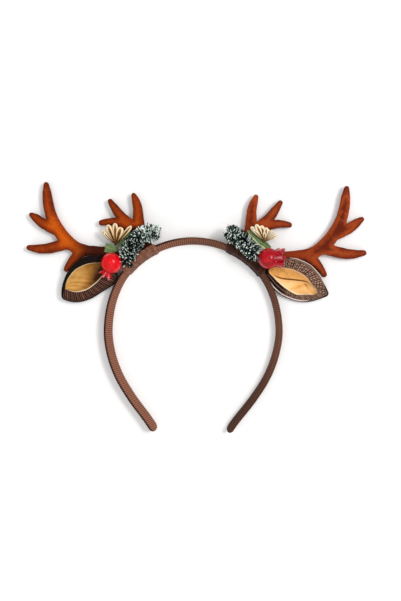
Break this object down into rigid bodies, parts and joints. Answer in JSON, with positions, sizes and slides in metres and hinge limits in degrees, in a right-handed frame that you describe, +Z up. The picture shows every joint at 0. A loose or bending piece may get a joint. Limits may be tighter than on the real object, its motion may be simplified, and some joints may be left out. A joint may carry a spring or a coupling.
{
  "type": "christmas headband",
  "caption": "Reindeer costume headband: ribbon-wrapped hair hoop with branching antlers, cupped ears, frosted pine rolls, berries and pale bracts.",
  "frame": {"origin": "on the surface the headband lies on, under the middle of its bounding box", "axes": "+X across the hoop to the side of the antler that is on the right when its front is looked at, +Y from the hoop's tips to its crown, +Z up, out of its front"},
  "size_m": [0.2542, 0.1882, 0.0228],
  "materials": {
    "ribbon_brown": "ribbed grosgrain",
    "felt_brown": "matt felt",
    "antler_plush": "short flocked plush",
    "ear_cloth": "ribbed grosgrain",
    "lining_satin": "soft satin",
    "pine_needles": "frosted tinsel",
    "berry_red": "glossy",
    "pod_cream": "dry matt bracts",
    "leaf_green": "matt cloth leaf"
  },
  "bodies": {
    "root": {"band": "ribbon_brown", "patch_left": "felt_brown", "antler_left": "antler_plush", "brow_antler_left": "antler_plush", "ear_left": "ear_cloth", "lining_left": "lining_satin", "garland_left": "pine_needles", "berry_left": "berry_red", "pods_left": "pod_cream", "patch_right": "felt_brown", "antler_right": "antler_plush", "brow_antler_right": "antler_plush", "ear_right": "ear_cloth", "lining_right": "lining_satin", "garland_right": "pine_needles", "berry_right": "berry_red", "pods_right": "pod_cream", "leaf_left": "leaf_green", "leaflet_left": "leaf_green", "leaf_right": "leaf_green"}
  },
  "joints": []
}
